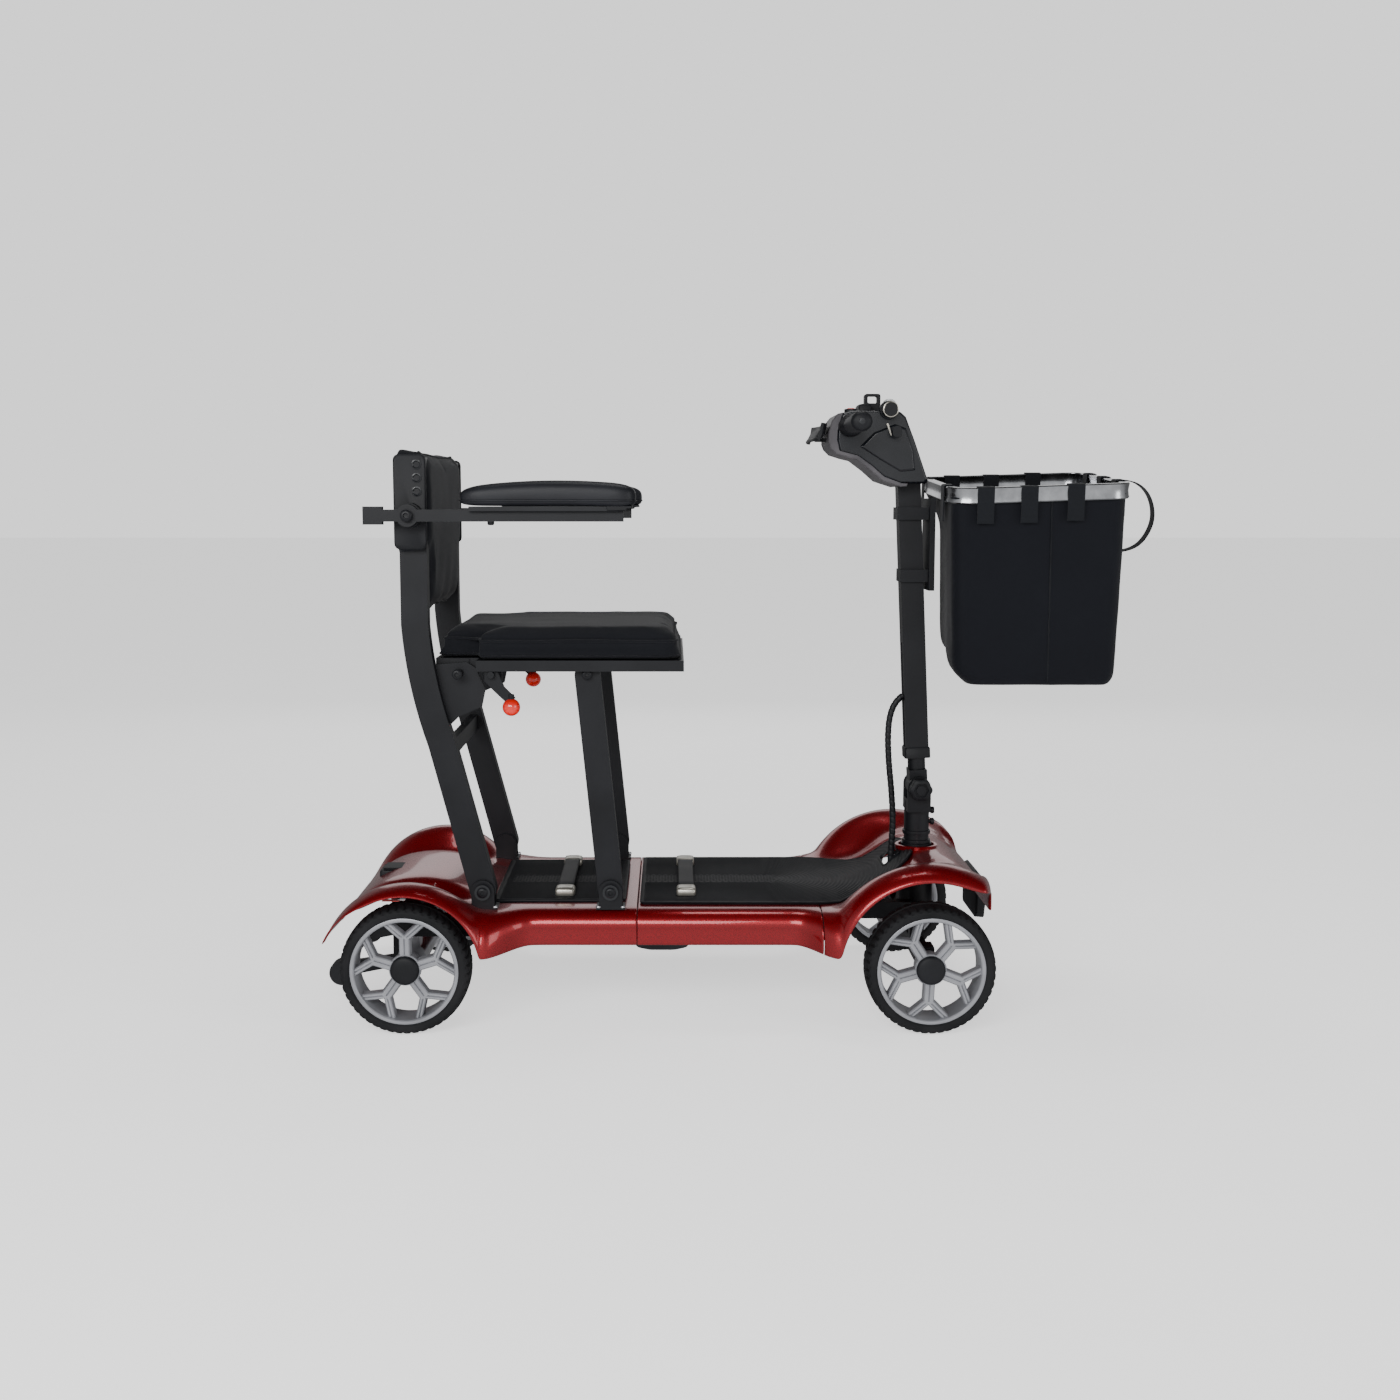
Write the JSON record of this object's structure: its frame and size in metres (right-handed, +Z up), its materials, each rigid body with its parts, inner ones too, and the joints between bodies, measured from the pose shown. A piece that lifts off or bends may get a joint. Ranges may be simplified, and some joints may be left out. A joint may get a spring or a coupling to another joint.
{
  "type": "mobility scooter",
  "caption": "Folding electric mobility scooter with a low deck, upholstered seat with flip-up arms, adjustable tiller and a front basket.",
  "frame": {"origin": "on the floor, under the middle of the scooter's box", "axes": "+X to the front, +Y to the rider's left, +Z up"},
  "size_m": [1.195, 0.476, 0.883],
  "materials": {
    "arm_vinyl": "soft dark vinyl",
    "basket_fabric": "black nylon",
    "basket_rim": "polished",
    "black_frame": "satin black powder coat",
    "black_plastic": "gloss black moulding",
    "cable_wrap": "spiral wrapped",
    "dark_plastic": "matte black moulding",
    "lamp_lens": "clear",
    "red_cowl": "candy red metallic gloss",
    "red_knob": "gloss red",
    "ribbed_mat": "ribbed rubber",
    "seat_fabric": "black woven",
    "steel": "zinc plated",
    "tyre": "black rubber",
    "wheel_silver": "silver grey satin"
  },
  "bodies": {
    "chassis": {"chassis_frame": "black_frame", "steering_head": "black_frame", "front_axle_beam": "black_frame", "belly_pan": "dark_plastic", "transaxle": "steel", "anti_tip_bracket": "black_frame", "cowl_rear": "red_cowl", "cowl_middle": "red_cowl", "cowl_front": "red_cowl", "front_mat": "ribbed_mat", "nose_bumper": "dark_plastic", "headlight": "lamp_lens", "front_carry_strap": "black_plastic", "seat_feet": "black_frame"},
    "battery": {"battery_pack": "dark_plastic", "battery_lid": "ribbed_mat", "battery_carry_strap": "black_plastic"},
    "charge_cap": {"charge_port_cap": "dark_plastic"},
    "freewheel": {"freewheel_lever": "red_knob"},
    "anti_tip": {"anti_tip_rollers": "dark_plastic"},
    "knuckle_left": {"knuckle_left": "black_frame"},
    "knuckle_right": {"knuckle_right": "black_frame"},
    "track_rod": {"track_rod": "steel"},
    "column": {"steering_column": "black_frame", "steering_cable": "cable_wrap"},
    "fold_knob": {"fold_knob": "dark_plastic"},
    "mast": {"tiller_mast": "black_frame"},
    "stem": {"tiller_stem": "black_frame", "basket_bracket": "dark_plastic", "head_lower_shell": "black_plastic", "head_upper_shell": "black_plastic", "handlebar_grips": "dark_plastic", "battery_gauge": "dark_plastic"},
    "throttle": {"throttle_paddles": "black_plastic"},
    "dial": {"speed_dial": "dark_plastic"},
    "horn": {"horn_button": "dark_plastic"},
    "key": {"ignition_key": "steel"},
    "basket": {"basket_rim": "basket_rim", "basket_bag": "basket_fabric", "basket_strap": "basket_fabric"},
    "rear_frame": {"rear_legs": "black_frame", "backrest_pad": "seat_fabric", "armrest_brackets": "dark_plastic"},
    "front_leg_left": {"front_leg_left": "black_frame"},
    "front_leg_right": {"front_leg_right": "black_frame"},
    "seat": {"seat_frame": "black_frame", "seat_cushion": "seat_fabric"},
    "seat_release": {"seat_release_levers": "red_knob"},
    "armrest_left": {"armrest_bar_left": "black_frame", "armrest_pad_left": "arm_vinyl"},
    "armrest_right": {"armrest_bar_right": "black_frame", "armrest_pad_right": "arm_vinyl"},
    "wheel_rear_left": {"tyre_rear_left": "tyre", "rim_rear_left": "wheel_silver"},
    "wheel_rear_right": {"tyre_rear_right": "tyre", "rim_rear_right": "wheel_silver"},
    "wheel_front_left": {"tyre_front_left": "tyre", "rim_front_left": "wheel_silver"},
    "wheel_front_right": {"tyre_front_right": "tyre", "rim_front_right": "wheel_silver"}
  },
  "joints": [
    {"name": "wheel_rear_left_spin", "type": "hinge", "parent": "chassis", "child": "wheel_rear_left", "pos_m": [-0.4725, 0.2085, 0.09], "axis": [0, 1, 0], "continuous": true},
    {"name": "wheel_rear_right_spin", "type": "hinge", "parent": "chassis", "child": "wheel_rear_right", "pos_m": [-0.4725, -0.2085, 0.09], "axis": [0, 1, 0], "continuous": true},
    {"name": "wheel_front_left_spin", "type": "hinge", "parent": "knuckle_left", "child": "wheel_front_left", "pos_m": [0.2495, 0.2085, 0.09], "axis": [0, 1, 0], "continuous": true},
    {"name": "wheel_front_right_spin", "type": "hinge", "parent": "knuckle_right", "child": "wheel_front_right", "pos_m": [0.2495, -0.2085, 0.09], "axis": [0, 1, 0], "continuous": true},
    {"name": "anti_tip_spin", "type": "hinge", "parent": "chassis", "child": "anti_tip", "pos_m": [-0.5795, 0, 0.057], "axis": [0, 1, 0], "continuous": true},
    {"name": "steer", "type": "hinge", "parent": "chassis", "child": "column", "pos_m": [0.2595, 0, 0.15], "axis": [0, 0, 1], "range_deg": [-28, 28]},
    {"name": "knuckle_left_turn", "type": "hinge", "parent": "chassis", "child": "knuckle_left", "pos_m": [0.2495, 0.165, 0.09], "axis": [0, 0, 1], "range_deg": [-28, 28]},
    {"name": "knuckle_right_turn", "type": "hinge", "parent": "chassis", "child": "knuckle_right", "pos_m": [0.2495, -0.165, 0.09], "axis": [0, 0, 1], "range_deg": [-28, 28]},
    {"name": "track_rod_turn", "type": "hinge", "parent": "column", "child": "track_rod", "pos_m": [0.2145, 0, 0.112], "axis": [0, 0, 1], "range_deg": [-28, 28]},
    {"name": "tiller_fold", "type": "hinge", "parent": "column", "child": "mast", "pos_m": [0.2595, 0, 0.308], "axis": [0, 1, 0], "range_deg": [-35, 0], "deforming": ["steering_cable"]},
    {"name": "fold_knob_turn", "type": "hinge", "parent": "column", "child": "fold_knob", "pos_m": [0.2595, -0.035, 0.308], "axis": [0, 1, 0], "range_deg": [0, 120]},
    {"name": "tiller_height", "type": "slide", "parent": "mast", "child": "stem", "axis": [-0.048, 0, 0.9988], "range_m": [-0.015, 0.08]},
    {"name": "throttle", "type": "hinge", "parent": "stem", "child": "throttle", "pos_m": [0.1505, 0, 0.817], "axis": [0, 0, 1], "range_deg": [-8, 8], "stiffness_Nm_per_rad": 0.4},
    {"name": "speed_dial_turn", "type": "hinge", "parent": "stem", "child": "dial", "pos_m": [0.2015, -0.07, 0.857], "axis": [0, 1, 0], "range_deg": [-135, 135]},
    {"name": "key_turn", "type": "hinge", "parent": "stem", "child": "key", "pos_m": [0.2105, -0.07, 0.826], "axis": [0, 1, 0], "range_deg": [0, 90]},
    {"name": "horn_press", "type": "slide", "parent": "stem", "child": "horn", "axis": [0, 0, -1], "range_m": [0, 0.002], "stiffness_N_per_m": 400},
    {"name": "basket_lift", "type": "slide", "parent": "stem", "child": "basket", "axis": [0, 0, 1], "range_m": [0, 0.03]},
    {"name": "seat_fold", "type": "hinge", "parent": "chassis", "child": "rear_frame", "pos_m": [-0.3695, 0, 0.1885], "axis": [0, 1, 0], "range_deg": [0, 58]},
    {"name": "front_leg_left_fold", "type": "hinge", "parent": "chassis", "child": "front_leg_left", "pos_m": [-0.1915, 0.162, 0.1885], "axis": [0, 1, 0], "range_deg": [0, 58]},
    {"name": "front_leg_right_fold", "type": "hinge", "parent": "chassis", "child": "front_leg_right", "pos_m": [-0.1915, -0.162, 0.1885], "axis": [0, 1, 0], "range_deg": [0, 58]},
    {"name": "seat_level", "type": "hinge", "parent": "rear_frame", "child": "seat", "pos_m": [-0.4005, 0, 0.493], "axis": [0, 1, 0], "range_deg": [-58, 0]},
    {"name": "seat_release_pull", "type": "hinge", "parent": "seat", "child": "seat_release", "pos_m": [-0.3535, 0, 0.493], "axis": [0, 1, 0], "range_deg": [0, 20], "stiffness_Nm_per_rad": 1.5},
    {"name": "armrest_left_flip", "type": "hinge", "parent": "rear_frame", "child": "armrest_left", "pos_m": [-0.4585, 0.215, 0.71], "axis": [0, 1, 0], "range_deg": [-90, 0]},
    {"name": "armrest_right_flip", "type": "hinge", "parent": "rear_frame", "child": "armrest_right", "pos_m": [-0.4585, -0.215, 0.71], "axis": [0, 1, 0], "range_deg": [-90, 0]},
    {"name": "battery_lift", "type": "slide", "parent": "chassis", "child": "battery", "axis": [0, 0, 1], "range_m": [0, 0.06]},
    {"name": "charge_cap_open", "type": "hinge", "parent": "chassis", "child": "charge_cap", "pos_m": [-0.5355, 0, 0.187], "axis": [0, 1, 0], "range_deg": [-110, 0]},
    {"name": "freewheel_turn", "type": "hinge", "parent": "chassis", "child": "freewheel", "pos_m": [-0.5045, 0.055, 0.119], "axis": [0, 0, 1], "range_deg": [0, 40]}
  ],
  "couplings": [
    {"joint": "knuckle_left_turn", "follows": "steer", "ratio": 1},
    {"joint": "knuckle_right_turn", "follows": "steer", "ratio": 1},
    {"joint": "track_rod_turn", "follows": "steer", "ratio": -1},
    {"joint": "front_leg_left_fold", "follows": "seat_fold", "ratio": 1},
    {"joint": "front_leg_right_fold", "follows": "seat_fold", "ratio": 1},
    {"joint": "seat_level", "follows": "seat_fold", "ratio": -1}
  ]
}
